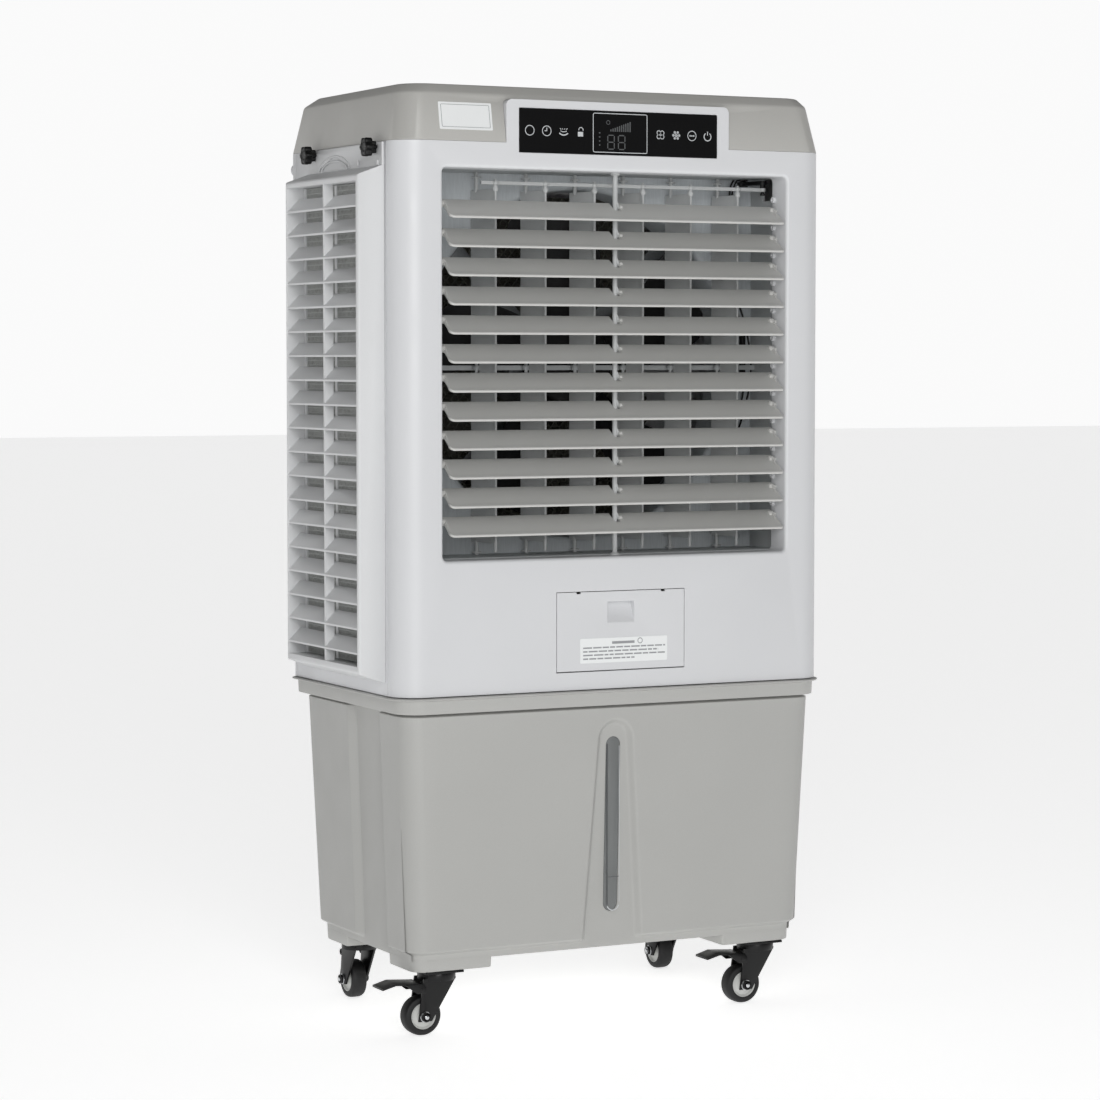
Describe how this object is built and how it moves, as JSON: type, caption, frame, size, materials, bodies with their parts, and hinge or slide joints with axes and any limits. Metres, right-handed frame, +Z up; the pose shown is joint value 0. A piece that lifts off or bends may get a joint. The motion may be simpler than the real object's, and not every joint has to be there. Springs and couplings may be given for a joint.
{
  "type": "portable evaporative cooler",
  "caption": "Box-shaped evaporative cooler on swivel casters: louvred air outlet and touch panel above, removable intake grilles with wet pads, water tank with level window below.",
  "frame": {"origin": "middle of the bounding box at floor level, under the casters", "axes": "+Z up, air outlet and control panel facing -Y, left intake grille facing -X"},
  "size_m": [0.644, 0.377, 1.1755],
  "materials": {
    "tank_grey": "satin",
    "cover_grey": "satin",
    "clear_window": "clear, slightly frosted",
    "white_shell": "satin",
    "control_gloss": "high gloss",
    "vane_grey": "satin",
    "louvre_grey": "satin",
    "black_plastic": "satin",
    "shroud_grey": "satin",
    "bracket_steel": "zinc plated",
    "grille_white": "satin",
    "cooling_pad": "corrugated paper",
    "caster_black": "black coated",
    "wheel_tread": "polyurethane tread",
    "hub_light": "moulded",
    "bright_steel": "polished",
    "label_grey": "printed label",
    "mark_light": "printed marks",
    "wire_black": "insulated lead"
  },
  "bodies": {
    "housing": {"tank": "tank_grey", "level_window": "clear_window", "front_panel": "white_shell", "side_panel_left": "white_shell", "side_panel_right": "white_shell", "rear_panel": "white_shell", "top_cover": "cover_grey", "control_glass": "control_gloss", "vane_frame": "vane_grey", "louvre_support": "vane_grey", "swing_motor": "black_plastic", "fan_shroud": "shroud_grey", "motor_bracket": "bracket_steel", "fan_motor": "bracket_steel", "pump": "black_plastic", "riser_hose": "shroud_grey", "water_distributor": "shroud_grey", "caster_plates": "caster_black", "power_inlet": "black_plastic", "water_inlet": "shroud_grey"},
    "fill_door": {"fill_door": "white_shell"},
    "fan": {"fan": "black_plastic"},
    "drain_plug": {"drain_plug": "black_plastic"},
    "louvre_01": {"louvre_01": "louvre_grey"},
    "louvre_02": {"louvre_02": "louvre_grey"},
    "louvre_03": {"louvre_03": "louvre_grey"},
    "louvre_04": {"louvre_04": "louvre_grey"},
    "louvre_05": {"louvre_05": "louvre_grey"},
    "louvre_06": {"louvre_06": "louvre_grey"},
    "louvre_07": {"louvre_07": "louvre_grey"},
    "louvre_08": {"louvre_08": "louvre_grey"},
    "louvre_09": {"louvre_09": "louvre_grey"},
    "louvre_10": {"louvre_10": "louvre_grey"},
    "louvre_11": {"louvre_11": "louvre_grey"},
    "louvre_12": {"louvre_12": "louvre_grey"},
    "vane_1": {"vane_1": "vane_grey"},
    "vane_2": {"vane_2": "vane_grey"},
    "vane_3": {"vane_3": "vane_grey"},
    "vane_4": {"vane_4": "vane_grey"},
    "vane_5": {"vane_5": "vane_grey"},
    "vane_6": {"vane_6": "vane_grey"},
    "vane_link": {"vane_link": "vane_grey"},
    "swing_crank": {"swing_crank": "black_plastic"},
    "intake_left": {"intake_grille_left": "grille_white", "pad_left": "cooling_pad"},
    "intake_rear": {"intake_grille_rear": "grille_white", "pad_rear": "cooling_pad"},
    "knob_front": {"knob_front": "black_plastic"},
    "knob_rear": {"knob_rear": "black_plastic"},
    "fork_fl": {"caster_fork_fl": "caster_black"},
    "wheel_fl": {"caster_wheel_fl": "wheel_tread"},
    "fork_fr": {"caster_fork_fr": "caster_black"},
    "wheel_fr": {"caster_wheel_fr": "wheel_tread"},
    "fork_rl": {"caster_fork_rl": "caster_black"},
    "wheel_rl": {"caster_wheel_rl": "wheel_tread"},
    "fork_rr": {"caster_fork_rr": "caster_black"},
    "wheel_rr": {"caster_wheel_rr": "wheel_tread"},
    "brake_fl": {"brake_pedal_fl": "caster_black"},
    "brake_fr": {"brake_pedal_fr": "caster_black"}
  },
  "joints": [
    {"name": "fill_door_hinge", "type": "hinge", "parent": "housing", "child": "fill_door", "pos_m": [0.019, -0.1815, 0.4545], "axis": [1, 0, 0], "range_deg": [0, 55]},
    {"name": "fan_spin", "type": "hinge", "parent": "housing", "child": "fan", "pos_m": [0.016, -0.0425, 0.8334], "axis": [0, 1, 0], "continuous": true},
    {"name": "drain_plug_turn", "type": "hinge", "parent": "housing", "child": "drain_plug", "pos_m": [0.216, 0.1405, 0.128], "axis": [0, 1, 0], "continuous": true},
    {"name": "louvre_01_tilt", "type": "hinge", "parent": "housing", "child": "louvre_01", "pos_m": [0.016, -0.1575, 1.0304], "axis": [1, 0, 0], "range_deg": [-55, 27]},
    {"name": "louvre_02_tilt", "type": "hinge", "parent": "housing", "child": "louvre_02", "pos_m": [0.016, -0.1575, 0.9949], "axis": [1, 0, 0], "range_deg": [-55, 27]},
    {"name": "louvre_03_tilt", "type": "hinge", "parent": "housing", "child": "louvre_03", "pos_m": [0.016, -0.1575, 0.9594], "axis": [1, 0, 0], "range_deg": [-55, 27]},
    {"name": "louvre_04_tilt", "type": "hinge", "parent": "housing", "child": "louvre_04", "pos_m": [0.016, -0.1575, 0.9239], "axis": [1, 0, 0], "range_deg": [-55, 27]},
    {"name": "louvre_05_tilt", "type": "hinge", "parent": "housing", "child": "louvre_05", "pos_m": [0.016, -0.1575, 0.8884], "axis": [1, 0, 0], "range_deg": [-55, 27]},
    {"name": "louvre_06_tilt", "type": "hinge", "parent": "housing", "child": "louvre_06", "pos_m": [0.016, -0.1575, 0.8529], "axis": [1, 0, 0], "range_deg": [-55, 27]},
    {"name": "louvre_07_tilt", "type": "hinge", "parent": "housing", "child": "louvre_07", "pos_m": [0.016, -0.1575, 0.8174], "axis": [1, 0, 0], "range_deg": [-55, 27]},
    {"name": "louvre_08_tilt", "type": "hinge", "parent": "housing", "child": "louvre_08", "pos_m": [0.016, -0.1575, 0.7819], "axis": [1, 0, 0], "range_deg": [-55, 27]},
    {"name": "louvre_09_tilt", "type": "hinge", "parent": "housing", "child": "louvre_09", "pos_m": [0.016, -0.1575, 0.7464], "axis": [1, 0, 0], "range_deg": [-55, 27]},
    {"name": "louvre_10_tilt", "type": "hinge", "parent": "housing", "child": "louvre_10", "pos_m": [0.016, -0.1575, 0.7109], "axis": [1, 0, 0], "range_deg": [-55, 27]},
    {"name": "louvre_11_tilt", "type": "hinge", "parent": "housing", "child": "louvre_11", "pos_m": [0.016, -0.1575, 0.6754], "axis": [1, 0, 0], "range_deg": [-55, 27]},
    {"name": "louvre_12_tilt", "type": "hinge", "parent": "housing", "child": "louvre_12", "pos_m": [0.016, -0.1575, 0.6399], "axis": [1, 0, 0], "range_deg": [-55, 27]},
    {"name": "swing", "type": "hinge", "parent": "housing", "child": "swing_crank", "pos_m": [0.25, -0.0865, 1.068], "axis": [0, 0, 1], "range_deg": [-42, 18]},
    {"name": "vane_1_turn", "type": "hinge", "parent": "housing", "child": "vane_1", "pos_m": [-0.1354, -0.0865, 0.83], "axis": [0, 0, 1], "range_deg": [-42, 18]},
    {"name": "vane_2_turn", "type": "hinge", "parent": "housing", "child": "vane_2", "pos_m": [-0.0658, -0.0865, 0.83], "axis": [0, 0, 1], "range_deg": [-42, 18]},
    {"name": "vane_3_turn", "type": "hinge", "parent": "housing", "child": "vane_3", "pos_m": [0.0038, -0.0865, 0.83], "axis": [0, 0, 1], "range_deg": [-42, 18]},
    {"name": "vane_4_turn", "type": "hinge", "parent": "housing", "child": "vane_4", "pos_m": [0.0734, -0.0865, 0.83], "axis": [0, 0, 1], "range_deg": [-42, 18]},
    {"name": "vane_5_turn", "type": "hinge", "parent": "housing", "child": "vane_5", "pos_m": [0.143, -0.0865, 0.83], "axis": [0, 0, 1], "range_deg": [-42, 18]},
    {"name": "vane_6_turn", "type": "hinge", "parent": "housing", "child": "vane_6", "pos_m": [0.2126, -0.0865, 0.83], "axis": [0, 0, 1], "range_deg": [-42, 18]},
    {"name": "link_pin", "type": "hinge", "parent": "swing_crank", "child": "vane_link", "pos_m": [0.25807, -0.12445, 1.057], "axis": [0, 0, 1], "range_deg": [-18, 42]},
    {"name": "intake_left_pull", "type": "slide", "parent": "housing", "child": "intake_left", "axis": [-1, 0, 0], "range_m": [0, 0.15]},
    {"name": "intake_rear_pull", "type": "slide", "parent": "housing", "child": "intake_rear", "axis": [0, 1, 0], "range_m": [0, 0.15]},
    {"name": "knob_front_turn", "type": "hinge", "parent": "intake_left", "child": "knob_front", "pos_m": [-0.29, -0.122, 1.099], "axis": [-1, 0, 0], "continuous": true},
    {"name": "knob_rear_turn", "type": "hinge", "parent": "intake_left", "child": "knob_rear", "pos_m": [-0.29, 0.069, 1.099], "axis": [-1, 0, 0], "continuous": true},
    {"name": "swivel_fl", "type": "hinge", "parent": "housing", "child": "fork_fl", "pos_m": [-0.214, -0.1325, 0.074], "axis": [0, 0, 1], "continuous": true},
    {"name": "roll_fl", "type": "hinge", "parent": "fork_fl", "child": "wheel_fl", "pos_m": [-0.236, -0.1325, 0.025], "axis": [0, 1, 0], "continuous": true},
    {"name": "swivel_fr", "type": "hinge", "parent": "housing", "child": "fork_fr", "pos_m": [0.246, -0.1325, 0.074], "axis": [0, 0, 1], "continuous": true},
    {"name": "roll_fr", "type": "hinge", "parent": "fork_fr", "child": "wheel_fr", "pos_m": [0.224, -0.1325, 0.025], "axis": [0, 1, 0], "continuous": true},
    {"name": "swivel_rl", "type": "hinge", "parent": "housing", "child": "fork_rl", "pos_m": [-0.214, 0.1065, 0.074], "axis": [0, 0, 1], "continuous": true},
    {"name": "roll_rl", "type": "hinge", "parent": "fork_rl", "child": "wheel_rl", "pos_m": [-0.214, 0.1285, 0.025], "axis": [1, 0, 0], "continuous": true},
    {"name": "swivel_rr", "type": "hinge", "parent": "housing", "child": "fork_rr", "pos_m": [0.246, 0.1065, 0.074], "axis": [0, 0, 1], "continuous": true},
    {"name": "roll_rr", "type": "hinge", "parent": "fork_rr", "child": "wheel_rr", "pos_m": [0.246, 0.1285, 0.025], "axis": [1, 0, 0], "continuous": true},
    {"name": "brake_fl_tread", "type": "hinge", "parent": "fork_fl", "child": "brake_fl", "pos_m": [-0.242, -0.1325, 0.06], "axis": [0, 1, 0], "range_deg": [-10, 0]},
    {"name": "brake_fr_tread", "type": "hinge", "parent": "fork_fr", "child": "brake_fr", "pos_m": [0.218, -0.1325, 0.06], "axis": [0, 1, 0], "range_deg": [-10, 0]}
  ],
  "couplings": [
    {"joint": "vane_1_turn", "follows": "swing", "ratio": 1},
    {"joint": "vane_2_turn", "follows": "swing", "ratio": 1},
    {"joint": "vane_3_turn", "follows": "swing", "ratio": 1},
    {"joint": "vane_4_turn", "follows": "swing", "ratio": 1},
    {"joint": "vane_5_turn", "follows": "swing", "ratio": 1},
    {"joint": "vane_6_turn", "follows": "swing", "ratio": 1},
    {"joint": "link_pin", "follows": "swing", "ratio": -1}
  ]
}
